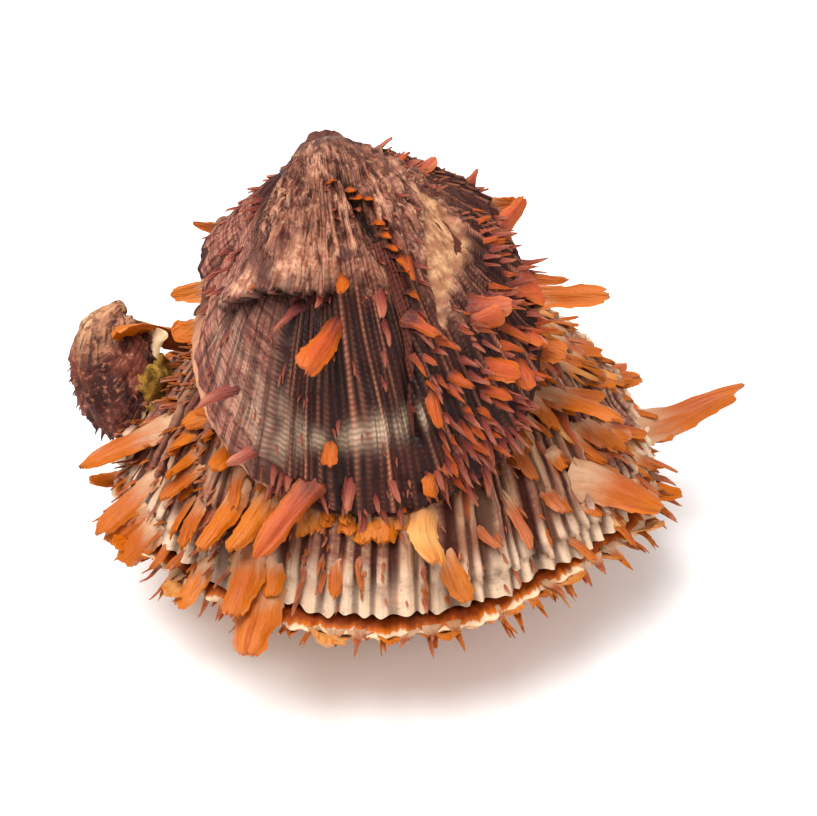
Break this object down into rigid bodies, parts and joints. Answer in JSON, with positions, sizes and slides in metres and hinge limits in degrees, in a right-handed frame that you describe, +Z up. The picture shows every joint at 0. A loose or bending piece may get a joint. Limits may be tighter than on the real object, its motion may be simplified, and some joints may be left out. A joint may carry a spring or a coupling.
{
  "type": "spiny oyster shell cluster",
  "caption": "Closed spiny oyster shell with a younger spiny oyster cemented on its dome and a small juvenile at its edge, resting on a flat scar",
  "frame": {"origin": "on the ground under the middle of the bounding box", "axes": "+Z up, the hinges at the back towards +Y, the open margins at the front towards -Y, the longest spine to the right towards +X"},
  "size_m": [0.1518, 0.126, 0.0938],
  "materials": {
    "host_lower_shell": "matt shell, cream with an orange margin",
    "host_upper_shell": "matt shell, cream with mauve streaks and orange spines",
    "young_lower_shell": "matt shell, dull mauve",
    "young_upper_shell": "satin shell, dark maroon with pink ribs and orange spines",
    "juvenile_upper_shell": "rough brown shell",
    "juvenile_lower_shell": "chalky white shell",
    "dried_sponge": "dry yellow crust"
  },
  "bodies": {
    "root": {"host_lower_valve": "host_lower_shell", "host_upper_valve": "host_upper_shell", "young_lower_valve": "young_lower_shell", "young_upper_valve": "young_upper_shell", "juvenile_upper_valve": "juvenile_upper_shell", "juvenile_lower_valve": "juvenile_lower_shell", "sponge_crust": "dried_sponge"}
  },
  "joints": []
}
